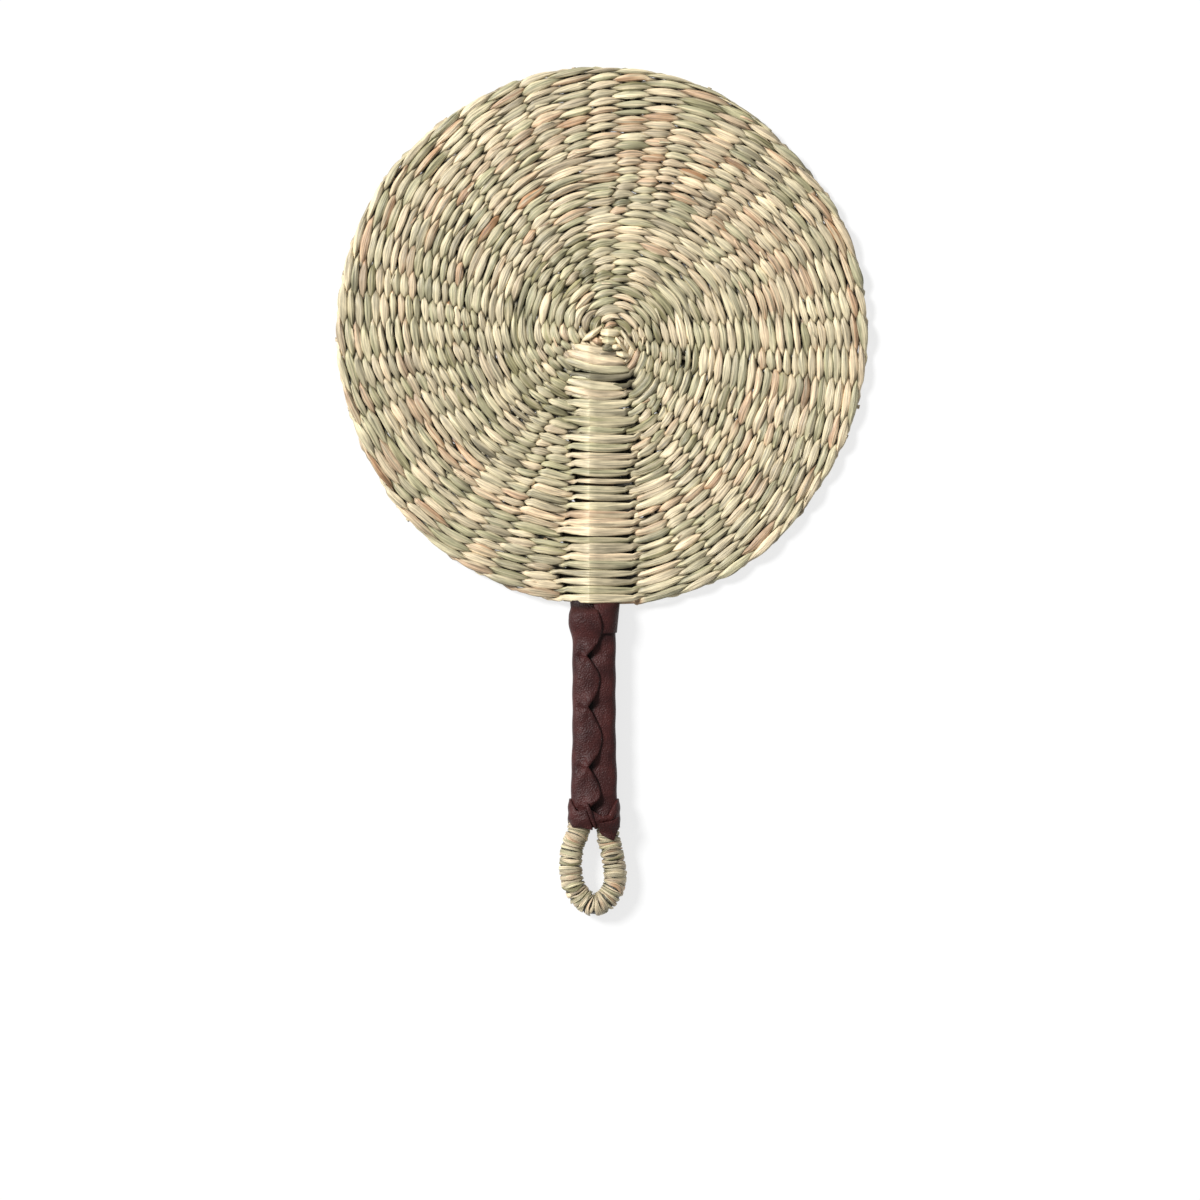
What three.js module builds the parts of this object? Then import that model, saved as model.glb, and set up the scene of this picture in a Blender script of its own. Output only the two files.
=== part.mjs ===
// A round hand fan twined from seagrass on a wooden stave, with a leather grip and a hanging loop.
// Millimetres, +Z up. The fan lies on its back: X is its width and +Y runs from the loop to the disc's top.
// The disc's centre is at x = 0, y = 0 in the inner group. The outer group moves the middle of the fan's
// outline to the origin, on the plane that the fan lies on.
import * as THREE from "three";

// Fits
const clearance = 0.3; // between pieces that touch
const strandGap = 0.5; // between neighbouring weft strands

// Disc
const discRadius = 123.8; // to the outer edge of the last course
const spokeStub = 1.2; // what a spoke stands out of the rim
const knotRadius = 8;
const knotHeight = 5;
const coursePitch = 7.4; // radial distance between courses
const leastCourse = 2.4; // radial width in which the weft starts and ends
const weftThickness = 2.2;
const finestSpokes = 32; // spokes at the rim, the stave included
const leastStitch = 11; // distance between spokes at which a new spoke is added between them
const staveRoom = 4.5; // free distance between the stave's edge and the first spoke beside it
const spokeWidth = 2.2;
const spokeThickness = 1.6;

// Stave
const staveHalfWidth = 11; // at the disc's rim, where it is widest
const staveTipHalfWidth = 2.5;
const staveRidge = 7.5; // height of the ridge over the disc's middle plane, at the rim
const staveTipRidge = 2.5;
const ridgeOffset = -2.5; // at the rim the ridge lies to the left of the stave's middle
const staveEndGap = 26; // from the stave's lower end to the grip's lower end

// Grip
const gripOffset = -4.8; // the grip's axis lies to the left of the disc's centre
const gripTopGap = 2; // from the disc's rim to the grip
const gripLength = 105;
const leather = 1.2;
const wrapHalfWidth = 10.2;
const wrapBottomHalfWidth = 10.8;
const swellLength = 20; // over which the wrap widens towards its bottom
const gripCoreHeight = 8.5;
const sectionPower = 3; // of the super-ellipse that rounds the grip's section
const flatCut = 1; // depth to which the section's back is cut flat
const lapPinchX = -3.6; // edge of the lapped leather at a pinch, from the grip's axis
const lapBulge = 7; // what the edge swings out between two pinches
const lapPinchSpacing = 26.6;
const firstPinch = 24; // from the grip's top
const underEdgeX = -6.5; // edge of the leather under the lap
const collarLength = 13;
const bandLength = 13.4;
const bandSlit = 0.8; // between the ends of a collar or band
const collarSlant = 2.4; // how far the collar's slit leans to the right
const tailLength = 14;
const tailWidth = 7;
const tailTipWidth = 1.2;
const tailX = 5.5; // middle of the tail, from the grip's axis
const tailOverhang = 5; // what the tail hangs below the band
const keeperWidth = 4;
const keeperX = -3; // middle of the keeper, from the grip's axis
const keeperMargin = 1.5; // from the keeper's ends to the band's edges

// Loop
const loopCoreRadius = 3.4;
const loopBendRadius = 10.1; // of the loop's centre line at its bottom
const loopSpread = 28.6; // length over which the legs part below the band
const windingTurns = 24;
const windingThickness = 1.7;
const windingCoreGap = 0.45;
const windingGap = 1.1; // along the loop's centre line, between two turns
const windingLead = 3.5; // straight length at each end of the winding

// Faces
const windingSteps = 12; // of one turn
const windingSides = 5;
const coreSides = 10;
const coreStep = 4.5; // along the loop's centre line
const wrapColumns = 19;
const stationsPerScallop = 6;
const knotSides = 12;

// Heights that follow from the sizes above
const weftLift = spokeThickness / 2 + clearance + weftThickness / 2;
const middlePlane = weftLift + weftThickness / 2;
const wrapBack = leather + clearance;
const coreBack = wrapBack + leather + clearance;
const coreTop = coreBack + gripCoreHeight;
const wrapTop = coreTop + 2 * (leather + clearance);
const bandTop = wrapTop + clearance + leather;

// Places along the fan
const gripTop = -discRadius - gripTopGap;
const gripBottom = gripTop - gripLength;
const staveEnd = gripBottom + staveEndGap;
const windingRadius = loopCoreRadius + windingCoreGap + windingThickness / 2;
const ropeRadius = windingRadius + windingThickness / 2;
const loopAxisHeight = coreBack + loopCoreRadius;
const bendCentreY = gripBottom - loopSpread;
const fanTop = discRadius + spokeStub;
const fanBottom = bendCentreY - loopBendRadius - ropeRadius;

const grass = (colour) => new THREE.MeshStandardMaterial({ color: colour, roughness: 0.7, metalness: 0 });
const hide = () => new THREE.MeshStandardMaterial({ color: 0x4a2a20, roughness: 0.55, metalness: 0 });
const wood = () => new THREE.MeshStandardMaterial({ color: 0xb08a5a, roughness: 0.65, metalness: 0 });

const inner = new THREE.Group();

function addPiece(name, geometry, material) {
  const mesh = new THREE.Mesh(geometry, material);
  mesh.name = name;
  inner.add(mesh);
}

// Signed volume of an indexed mesh: negative where its faces point inwards.
function signedVolume(points, index) {
  let sum = 0;
  const side = new THREE.Vector3();
  for (let i = 0; i < index.length; i += 3) {
    side.crossVectors(points[index[i + 1]], points[index[i + 2]]);
    sum += points[index[i]].dot(side);
  }
  return sum / 6;
}

// A closed geometry whose faces point outwards.
function closedGeometry(points, index) {
  const outwards = signedVolume(points, index) >= 0 ? index : index.slice().reverse();
  const geometry = new THREE.BufferGeometry();
  geometry.setFromPoints(points);
  geometry.setIndex(outwards);
  geometry.computeVertexNormals();
  return geometry;
}

// Joins rings of equally many points into a solid with flat ends.
function loft(rings) {
  const sides = rings[0].length;
  const last = (rings.length - 1) * sides;
  const index = [];
  for (let i = 0; i < rings.length - 1; i++) {
    for (let j = 0; j < sides; j++) {
      const a = i * sides + j;
      const b = i * sides + ((j + 1) % sides);
      index.push(a, b, b + sides, a, b + sides, a + sides);
    }
  }
  for (let j = 1; j < sides - 1; j++) {
    index.push(0, j + 1, j, last, last + j, last + j + 1);
  }
  return closedGeometry(rings.flat(), index);
}

// A sheet with thickness: two grids of points, its outer and its inner face, closed along all four edges.
function slab(outerRows, innerRows) {
  const rows = outerRows.length;
  const columns = outerRows[0].length;
  const inside = rows * columns;
  const index = [];
  const quad = (a, b, c, d) => index.push(a, b, c, a, c, d);
  for (let i = 0; i < rows - 1; i++) {
    for (let j = 0; j < columns - 1; j++) {
      const a = i * columns + j;
      quad(a, a + 1, a + 1 + columns, a + columns);
      quad(inside + a, inside + a + columns, inside + a + 1 + columns, inside + a + 1);
    }
  }
  for (let j = 0; j < columns - 1; j++) {
    const a = (rows - 1) * columns + j;
    quad(j + 1, j, inside + j, inside + j + 1);
    quad(a, a + 1, inside + a + 1, inside + a);
  }
  for (let i = 0; i < rows - 1; i++) {
    const a = i * columns;
    const b = a + columns - 1;
    quad(a, a + columns, inside + a + columns, inside + a);
    quad(b + columns, b, inside + b, inside + b + columns);
  }
  return closedGeometry([...outerRows.flat(), ...innerRows.flat()], index);
}

const clamp = THREE.MathUtils.clamp;
const lerp = THREE.MathUtils.lerp;
const smoothstep = THREE.MathUtils.smoothstep;

// The stave as seen from above: its middle and half width at a distance below the disc's centre.
const staveTip = knotRadius + clearance;

function staveShare(down) {
  return clamp((down - staveTip) / (discRadius - staveTip), 0, 1);
}

function staveMiddle(down) {
  return gripOffset * staveShare(down);
}

function staveHalf(down) {
  return lerp(staveTipHalfWidth, staveHalfWidth, staveShare(down));
}

function ridgeHeight(down) {
  return lerp(staveTipRidge, staveRidge, staveShare(down));
}

function ridgeX(down) {
  return staveMiddle(down) + ridgeOffset * staveShare(down);
}

// The weft's spiral. A turn starts at the stave and runs clockwise as seen from the front.
const turnAngle = 2 * Math.PI;
const firstEdge = knotRadius + clearance + leastCourse;
const outerEdge = (turn) => Math.min(firstEdge + coursePitch * turn, discRadius);
const innerEdge = (turn) => (turn < 1 ? knotRadius + clearance : outerEdge(turn - 1));
const courseRadius = (turn) => (outerEdge(turn) + innerEdge(turn)) / 2;
const courseWidth = (turn) => outerEdge(turn) - innerEdge(turn);
const lastTurn = 1 + (discRadius - leastCourse - firstEdge) / coursePitch;

// A point of the disc at a radius and an angle clockwise from the stave.
function discPoint(radius, angle, height) {
  return new THREE.Vector3(-radius * Math.sin(angle), -radius * Math.cos(angle), middlePlane + height);
}

// Spokes are halved sectors: every fourth starts at the knot, and the others where there is room.
const spokeAngle = (spoke) => (spoke / finestSpokes) * turnAngle;

function hasRoom(spoke, radius) {
  const step = spoke % 4 === 0 ? 4 : spoke % 2 === 0 ? 2 : 1;
  const point = discPoint(radius, spokeAngle(spoke), 0);
  const fromStave = Math.abs(point.x - staveMiddle(-point.y)) - staveHalf(-point.y);
  const beside = spoke < finestSpokes / 4 || spoke > (3 * finestSpokes) / 4;
  return step === 4 || (radius * spokeAngle(step) >= leastStitch && (!beside || fromStave >= staveRoom));
}

function firstTurnOf(spoke) {
  let turn = spoke / finestSpokes;
  while (turn < lastTurn && !hasRoom(spoke, courseRadius(turn))) {
    turn += 1;
  }
  return turn;
}

const spokeStarts = [0];
for (let spoke = 1; spoke < finestSpokes; spoke++) {
  spokeStarts.push(firstTurnOf(spoke));
}

// All the places where a course passes a spoke or the stave, in the order in which the weft reaches them.
function weftCrossings() {
  const found = [];
  for (let step = 1; step / finestSpokes <= lastTurn; step++) {
    const turn = step / finestSpokes;
    const spoke = step % finestSpokes;
    if (spoke === 0 || turn >= spokeStarts[spoke]) {
      found.push(spoke === 0 ? staveCrossing(turn) : spokeCrossing(turn, spoke));
    }
  }
  return found;
}

function spokeCrossing(turn, spoke) {
  const angle = spokeAngle(spoke);
  return { from: { turn, angle }, to: { turn, angle }, ridge: null };
}

// On the stave a stitch runs from its right edge over the ridge to its left edge.
function staveCrossing(turn) {
  const down = courseRadius(turn);
  const place = (x) => {
    const angle = Math.asin(-x / down);
    return { turn: turn + angle / turnAngle, angle };
  };
  const edge = staveHalf(down);
  const middle = staveMiddle(down);
  const ridge = { ...place(ridgeX(down)), height: ridgeHeight(down) + clearance + weftThickness / 2 };
  return { from: place(middle + edge), to: place(middle - edge), ridge };
}

// One four-sided section of a weft strand. Its width is a share of the course, set off by a share.
function strandRing(place, height, widthShare, offsetShare) {
  const width = courseWidth(place.turn);
  const radius = courseRadius(place.turn) + offsetShare * width;
  const half = (widthShare * width - strandGap) / 2;
  return [
    discPoint(radius + half, place.angle, height),
    discPoint(radius, place.angle, height + weftThickness / 2),
    discPoint(radius - half, place.angle, height),
    discPoint(radius, place.angle, height - weftThickness / 2),
  ];
}

// The place half way between two crossings, where the two strands change sides.
function betweenPlaces(a, b) {
  const turn = (a.turn + b.turn) / 2;
  return { turn, angle: turn * turnAngle };
}

// One strand of the pair: in front of every second crossing, behind the others, and turned about its partner
// between them.
function weftStrand(crossings, startsInFront) {
  const rings = [];
  crossings.forEach((crossing, i) => {
    const side = (i % 2 === 0) === startsInFront ? 1 : -1;
    rings.push(strandRing(crossing.from, side * weftLift, 1, 0));
    if (crossing.ridge) {
      if (side > 0) {
        rings.push(strandRing(crossing.ridge, crossing.ridge.height, 1, 0));
      }
      rings.push(strandRing(crossing.to, side * weftLift, 1, 0));
    }
    const next = crossings[i + 1];
    if (next) {
      rings.push(strandRing(betweenPlaces(crossing.to, next.from), 0, 0.5, side * 0.25));
    }
  });
  return loft(rings);
}

function makeWeft() {
  const crossings = weftCrossings();
  addPiece("weft_strand_a", weftStrand(crossings, true), grass(0xd9c9a0));
  addPiece("weft_strand_b", weftStrand(crossings, false), grass(0xb3ad80));
}

// A spoke has a flat diamond section and ends in a cut stub outside the rim.
function spokeGeometry(spoke) {
  const angle = spokeAngle(spoke);
  const start = innerEdge(spokeStarts[spoke]);
  const along = discPoint(1, angle, -middlePlane);
  const across = new THREE.Vector3(-along.y, along.x, 0);
  const up = new THREE.Vector3(0, 0, 1);
  const ring = (radius) => {
    const middle = discPoint(radius, angle, 0);
    return [
      middle.clone().addScaledVector(across, spokeWidth / 2),
      middle.clone().addScaledVector(up, spokeThickness / 2),
      middle.clone().addScaledVector(across, -spokeWidth / 2),
      middle.clone().addScaledVector(up, -spokeThickness / 2),
    ];
  };
  return loft([ring(start), ring(fanTop)]);
}

function makeSpokes() {
  for (let spoke = 1; spoke < finestSpokes; spoke++) {
    if (spokeStarts[spoke] < lastTurn) {
      addPiece("spoke_" + String(spoke).padStart(2, "0"), spokeGeometry(spoke), grass(0xa89a6c));
    }
  }
}

// The knot of crossed grass ends that the first course is twined around.
function makeKnot() {
  const profile = new THREE.EllipseCurve(0, 0, knotRadius, knotHeight / 2, -Math.PI / 2, Math.PI / 2);
  const points = profile.getPoints(6);
  points[0].x = 0;
  points[points.length - 1].x = 0;
  const geometry = new THREE.LatheGeometry(points, knotSides);
  geometry.rotateX(Math.PI / 2);
  geometry.translate(0, 0, middlePlane);
  addPiece("centre_knot", geometry, grass(0xbfa878));
}

// One section of the stave: flat behind, with low edges and a ridge in front.
function staveRing(y, middle, half, ridge, back, edge, top) {
  return [
    new THREE.Vector3(middle - half, y, back),
    new THREE.Vector3(middle + half, y, back),
    new THREE.Vector3(middle + half, y, edge),
    new THREE.Vector3(middle + (half + ridge) / 2, y, (edge + top) / 2),
    new THREE.Vector3(middle + ridge, y, top),
    new THREE.Vector3(middle - (half - ridge) / 2, y, (edge + top) / 2),
    new THREE.Vector3(middle - half, y, edge),
  ];
}

function discStaveRing(down) {
  const back = middlePlane - spokeThickness / 2;
  const edge = middlePlane + spokeThickness / 2;
  const top = middlePlane + ridgeHeight(down);
  const ridge = ridgeOffset * staveShare(down);
  return staveRing(-down, staveMiddle(down), staveHalf(down), ridge, back, edge, top);
}

// In the grip the stave is a full round handle, whose section follows the leather around it.
function gripStaveRing(y) {
  const half = wrapHalfWidth - leather - clearance;
  const corners = [-0.72, -0.28, 0, 0.25, 0.5, 0.75, 1];
  return corners.map((share) => gripPoint(y, share * Math.PI, half, coreBack, coreTop));
}

function makeStave() {
  const inDisc = [staveTip, discRadius + clearance].map(discStaveRing);
  const inGrip = [gripTop, staveEnd].map(gripStaveRing);
  addPiece("stave", loft([...inDisc, ...inGrip]), wood());
}

// A point of the grip's section: a super-ellipse with a flat back.
function gripPoint(y, angle, half, back, top) {
  const round = (value) => Math.sign(value) * Math.abs(value) ** (2 / sectionPower);
  const low = back - flatCut;
  const height = (low + top) / 2 + ((top - low) / 2) * round(Math.sin(angle));
  return new THREE.Vector3(gripOffset + half * round(Math.cos(angle)), y, Math.max(height, back));
}

// The angle at which the front of the section reaches a place across the grip.
function frontAngle(x, half) {
  return Math.acos(Math.sign(x) * Math.abs(x / half) ** (sectionPower / 2));
}

// A leather sheet around the grip. It starts on the front, runs clockwise as seen from the loop under the back,
// and ends on the front. Where its end laps over its start, the start is sunk under it.
function leatherSheet(stations) {
  const face = (depth) =>
    stations.map((s) => {
      const start = frontAngle(s.startX, s.half);
      const end = frontAngle(s.endX, s.half) - turnAngle;
      return Array.from({ length: wrapColumns }, (unused, j) => {
        const angle = lerp(start, end, j / (wrapColumns - 1));
        const sunk = s.sink * smoothstep(angle, Math.PI * 0.3, Math.PI * 0.42);
        const inset = depth + sunk;
        return gripPoint(s.y, angle, s.half - inset, s.back + depth, s.top - inset);
      });
    });
  return slab(face(0), face(leather));
}

// The lap's edge: arcs that swing out between the pinches.
function lapX(y) {
  const along = gripTop - y - firstPinch;
  return lapPinchX + lapBulge * Math.abs(Math.sin((Math.PI * along) / lapPinchSpacing));
}

function wrapHalf(y) {
  const swellEnd = gripLength - staveEndGap - clearance;
  const share = smoothstep(gripTop - y, swellEnd - swellLength, swellEnd);
  return lerp(wrapHalfWidth, wrapBottomHalfWidth, share);
}

function wrapStations() {
  const spacing = lapPinchSpacing / stationsPerScallop;
  const phase = firstPinch % spacing;
  const places = [gripTop];
  for (let along = phase; along < gripLength; along += spacing) {
    if (along > clearance && gripLength - along > clearance) {
      places.push(gripTop - along);
    }
  }
  places.push(gripBottom);
  const sink = leather + clearance;
  return places.map((y) => {
    return { y, half: wrapHalf(y), back: wrapBack, top: wrapTop, startX: underEdgeX, endX: lapX(y), sink };
  });
}

// A strip around the wrap, whose ends meet at a slanted slit on the front.
function bandStations(top, bottom, slitTopX, slitBottomX, count) {
  return Array.from({ length: count }, (unused, i) => {
    const y = lerp(top, bottom, i / (count - 1));
    const slit = lerp(slitTopX, slitBottomX, i / (count - 1));
    const half = Math.max(wrapHalf(top), wrapHalf(bottom)) + clearance + leather;
    return { y, half, back: 0, top: bandTop, startX: slit + bandSlit / 2, endX: slit - bandSlit / 2, sink: 0 };
  });
}

// A small piece of leather that lies on the front of the bottom band, with its own width at each station.
function leatherPatch(stations) {
  const half = wrapHalf(gripBottom) + 2 * (clearance + leather);
  const top = bandTop + clearance + leather;
  const columns = 5;
  const face = (depth) =>
    stations.map(({ y, x, width }) =>
      Array.from({ length: columns }, (unused, j) => {
        const across = x + width * (j / (columns - 1) - 0.5);
        return gripPoint(y, frontAngle(across, half), half - depth, 0, top - depth);
      }),
    );
  return slab(face(0), face(leather));
}

function makeLeather() {
  const bandStart = gripBottom + bandLength;
  const collarEnd = gripTop - collarLength;
  const tailEnd = gripBottom - tailOverhang;
  const tail = [
    { y: tailEnd + tailLength, x: tailX, width: tailWidth },
    { y: gripBottom, x: tailX, width: tailWidth },
    { y: tailEnd, x: tailX, width: tailTipWidth },
  ];
  const keeper = [
    { y: bandStart - keeperMargin, x: keeperX, width: keeperWidth },
    { y: gripBottom + keeperMargin, x: keeperX, width: keeperWidth },
  ];
  addPiece("leather_wrap", leatherSheet(wrapStations()), hide());
  addPiece("top_collar", leatherSheet(bandStations(gripTop, collarEnd, 0, collarSlant, 3)), hide());
  addPiece("bottom_band", leatherSheet(bandStations(bandStart, gripBottom, 0, 0, 3)), hide());
  addPiece("band_tail", leatherPatch(tail), hide());
  addPiece("band_keeper", leatherPatch(keeper), hide());
}

// The loop's centre line: out of the grip, apart into two legs and round the bend.
function loopCurve() {
  const apart = wrapBottomHalfWidth - leather - clearance - loopCoreRadius;
  const pull = loopSpread / 2;
  const at = (x, y) => new THREE.Vector3(gripOffset + x, y, loopAxisHeight);
  const legTop = staveEnd - clearance;
  const curve = new THREE.CurvePath();
  curve.add(new THREE.LineCurve3(at(-apart, legTop), at(-apart, gripBottom)));
  curve.add(
    new THREE.CubicBezierCurve3(
      at(-apart, gripBottom),
      at(-apart, gripBottom - pull),
      at(-loopBendRadius, bendCentreY + pull),
      at(-loopBendRadius, bendCentreY),
    ),
  );
  curve.add(new BendCurve(at(0, bendCentreY), loopBendRadius));
  curve.add(
    new THREE.CubicBezierCurve3(
      at(loopBendRadius, bendCentreY),
      at(loopBendRadius, bendCentreY + pull),
      at(apart, gripBottom - pull),
      at(apart, gripBottom),
    ),
  );
  curve.add(new THREE.LineCurve3(at(apart, gripBottom), at(apart, legTop)));
  return curve;
}

// Half a circle in a level plane, from its left end through its lowest point in Y to its right end.
class BendCurve extends THREE.Curve {
  constructor(centre, radius) {
    super();
    this.centre = centre;
    this.radius = radius;
  }

  getPoint(t) {
    const angle = Math.PI * (1 + t);
    const { x, y, z } = this.centre;
    return new THREE.Vector3(x + this.radius * Math.cos(angle), y + this.radius * Math.sin(angle), z);
  }
}

const loop = loopCurve();
loop.arcLengthDivisions = 2000;
const loopLength = loop.getLength();

// The loop's centre and its level normal at a distance along it.
function loopFrame(along) {
  const share = clamp(along / loopLength, 0, 1);
  const tangent = loop.getTangentAt(share);
  const up = new THREE.Vector3(0, 0, 1);
  return { centre: loop.getPointAt(share), tangent, level: up.clone().cross(tangent), up };
}

// A point beside the loop's centre line, at a radius and an angle about it.
function loopPoint(along, radius, angle) {
  const { centre, level, up } = loopFrame(along);
  return centre
    .clone()
    .addScaledVector(level, radius * Math.cos(angle))
    .addScaledVector(up, radius * Math.sin(angle));
}

function makeLoopCore() {
  const steps = Math.round(loopLength / coreStep);
  const rings = Array.from({ length: steps + 1 }, (unused, i) =>
    Array.from({ length: coreSides }, (unusedSide, j) =>
      loopPoint((loopLength * i) / steps, loopCoreRadius, (turnAngle * j) / coreSides),
    ),
  );
  addPiece("loop_core", loft(rings), grass(0xc2b488));
}

// One section of the winding. lay is 0 where it runs along the loop and 1 where it runs around it.
function windingRing(along, angle, halfWidth, lay) {
  const swing = (lay * Math.PI) / 2;
  return Array.from({ length: windingSides }, (unused, j) => {
    const a = (turnAngle * j) / windingSides;
    const wide = halfWidth * Math.cos(a);
    const outwards = (windingThickness / 2) * Math.sin(a);
    const turned = angle - (wide * Math.cos(swing)) / windingRadius;
    return loopPoint(along + wide * Math.sin(swing), windingRadius + outwards, turned);
  });
}

// The winding is one strip: it leaves the band along one leg, turns around the loop and ends along the other leg.
function windingRings() {
  const legInGrip = staveEnd - clearance - gripBottom;
  const start = legInGrip + clearance;
  const end = loopLength - legInGrip - clearance;
  const outside = Math.PI;
  const pitch = (end - start - 2 * windingLead) / (windingTurns + 1);
  const halfWidth = (pitch - windingGap) / 2;
  const first = start + windingLead + pitch / 2;
  const straight = (along) => windingRing(along, outside, halfWidth, 0);
  const rings = [straight(start), straight(start + windingLead)];
  const steps = windingTurns * windingSteps;
  for (let i = 0; i <= steps; i++) {
    const turn = i / windingSteps;
    const lay = i === 0 || i === steps ? 0.5 : 1;
    rings.push(windingRing(first + pitch * turn, outside + turn * turnAngle, halfWidth, lay));
  }
  rings.push(straight(end - windingLead), straight(end));
  return rings;
}

// The least distance between points of the winding that lie more than half a turn apart along it.
function leastSelfGap(rings) {
  const apart = Math.ceil(windingSteps * 0.6);
  let least = Infinity;
  rings.forEach((ring, i) => {
    const others = rings.slice(i + apart).flat();
    for (const point of ring) {
      for (const other of others) {
        least = Math.min(least, point.distanceTo(other));
      }
    }
  });
  return least;
}

function makeLoopWinding() {
  const rings = windingRings();
  console.log("least gap of the loop winding to itself: " + leastSelfGap(rings).toFixed(2) + " mm");
  addPiece("loop_winding", loft(rings), grass(0xcdbd8c));
}

makeSpokes();
makeWeft();
makeKnot();
makeStave();
makeLeather();
makeLoopCore();
makeLoopWinding();

inner.position.y = -(fanTop + fanBottom) / 2;
const fan = new THREE.Group();
fan.add(inner);

export default fan;
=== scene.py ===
import math

import bpy
import numpy as np
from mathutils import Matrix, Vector


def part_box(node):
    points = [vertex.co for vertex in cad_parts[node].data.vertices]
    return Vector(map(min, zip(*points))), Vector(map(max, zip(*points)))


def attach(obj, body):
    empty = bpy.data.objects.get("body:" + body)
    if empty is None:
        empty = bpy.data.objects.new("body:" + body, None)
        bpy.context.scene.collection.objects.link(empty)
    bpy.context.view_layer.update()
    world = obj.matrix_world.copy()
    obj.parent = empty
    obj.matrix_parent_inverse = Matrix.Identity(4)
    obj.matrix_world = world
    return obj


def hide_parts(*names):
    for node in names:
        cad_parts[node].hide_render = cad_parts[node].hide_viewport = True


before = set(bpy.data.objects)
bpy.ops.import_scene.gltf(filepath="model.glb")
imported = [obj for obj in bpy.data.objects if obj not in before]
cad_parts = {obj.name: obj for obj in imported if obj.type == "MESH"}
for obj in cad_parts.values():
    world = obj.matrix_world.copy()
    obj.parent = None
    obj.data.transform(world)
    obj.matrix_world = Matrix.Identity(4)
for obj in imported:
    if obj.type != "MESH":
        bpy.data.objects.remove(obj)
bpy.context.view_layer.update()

# Sizes are in millimetres, with x and y from the disc's centre and z from the plane that the fan lies on.
MM = 0.001
KNOT_LOW, KNOT_HIGH = (np.array(corner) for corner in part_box("centre_knot"))
DISC_CENTRE = (KNOT_LOW + KNOT_HIGH) / 2
MIDDLE_PLANE = DISC_CENTRE[2] / MM
RANDOM = np.random.default_rng(11)

# Weave
DISC_RADIUS = 127.2  # where the last course is at its fullest
COURSE_PITCH = 3.9
FIRST_EDGE = 4.6
LEAST_COURSE = 1.2  # width in which the last course ends
RUN_OUT = 0.17  # share of a turn over which it narrows
KNOT_RADIUS = 2.4
COIL_SHIFT = (2.4, 0.6)  # of the coil's start from the disc's centre
COIL_SHIFT_FADE = (3, 26)  # radii between which that shift fades out
FINEST_SPOKES = 48
BASE_STEP = 8  # every eighth spoke starts at the centre
LEAST_STITCHES = {8: 0, 4: 6.2, 2: 8.8, 1: 9.6}  # distance between spokes at which new ones are added
STITCH_SPREAD = (0.74, 1.28)  # how unevenly the new spokes start
FIRST_SPOKE_REACH = 8  # a spoke this near to the stave's long stitches starts sooner
FIRST_SPOKE_NEED = 0.55
SPOKE_ANGLE_SPREAD = 0.02
SPOKE_WANDER = 0.02
WANDER_RATE = 0.35  # radians in a turn
PLACE_SPREAD = 0.8  # of the crossings, along the course
STEADY_RADIUS = 20  # inside it that spread is less
WEFT_THICKNESS = 1.9
WEFT_LIFT = 2.0  # of a stitch over the disc's middle plane
WEFT_TWIST = 0.29  # share of a course by which a strand swings out between two spokes
CROSSING_WIDTH = 0.46  # share of a course that a strand fills where it turns
BAND_CROSSING_WIDTH = 0.78  # and beside the stave
CROSSING_THICKNESS = 1.25  # there it stands on edge
PAINTED_GAP_SHADE = 0.09  # painted shade of the grass in the weave's gaps
PAINTED_BACK_GAP_SHADE = 0.55  # and the lighter painted shade of those gaps as seen from the back
SHADE_FACING = (-0.6, 0.3)  # from facing the disc's middle plane to facing away from it
SHADE_DEPTH = (0.1, 1.9)  # distances from that plane between which the painted shade ends
STRAND_SIDES = 12
STRAND_LOBES = 3
LOBE_DEPTH = 0.13
LOBE_LENGTH = 9  # in which the lobes turn by a radian
RINGS_PER_STEP = 4
STRAND_GAP = 0.05
LEAST_STRAND = 0.5
BULGE_POWER = 1.15  # of a strand's rise towards a crossing
KEENNESS = 1.4  # how soon a stitch narrows to an edge at the front, towards its ends
KEENEST = 0.92
FRONT_TAPER = 2.0  # a stitch narrows to a point at the front
BACK_TAPER = 0.4  # and stays wide at the back
BACK_WIDTH = 1.3  # share of a course that a strand fills behind a spoke
RIM_BACK_WIDTH = 0.9  # so that the last course's back doesn't stand out from behind its front
RIM_TURNS = 1.1  # turns from the end that this holds for
STITCH_LAP = 0.36  # share of a step by which a stitch reaches past its turning places at the front
STITCH_SHADES = (0.99, 0.12)  # mean and spread over the stitches
STITCH_WIDTHS = (1.1, 0.14)
STITCH_LIFT_SPREAD = 0.16
STITCH_ROLL_SPREAD = 0.14
STITCH_SHIFT_SPREAD = 0.04
GRASS_RUNS = (3, 22)  # stitches that one length of grass makes
TONE_SPREAD = 0.06
OUT_OF_ROUND = ((2, 0.8, 1.5), (3, 0.5, 1.9), (5, 0.5, 4.1), (9, 0.35, 0.8))  # count, size, phase
SPLICE_ENDS = 60
SPLICE_PLACES = (-1.5, 1.5)  # across the course
SPLICE_LENGTHS = (3, 8)
SPLICE_SWINGS = (-0.6, 1.6)  # of the free end, outwards
SPLICE_RISES = (0.2, 1.3)
SPLICE_BASE = 0.5  # over the middle of its stitch
SPLICE_HALF_WIDTH = 0.75
SPLICE_TAPER = 0.75
SPLICE_HALF_THICKNESS = 0.3
SPLICE_TONES = (0.35, 0.9)
SPLICE_SHADES = (0.85, 1.15)
STALK_RADII = (1.0, 0.5)  # of a spoke, in the disc's plane and out of it
STALK_ENDS = (-2.2, 1.3)  # past the rim
STALK_TONES = (0.35, 0.95)
STALK_SHADE = 0.85

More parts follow.
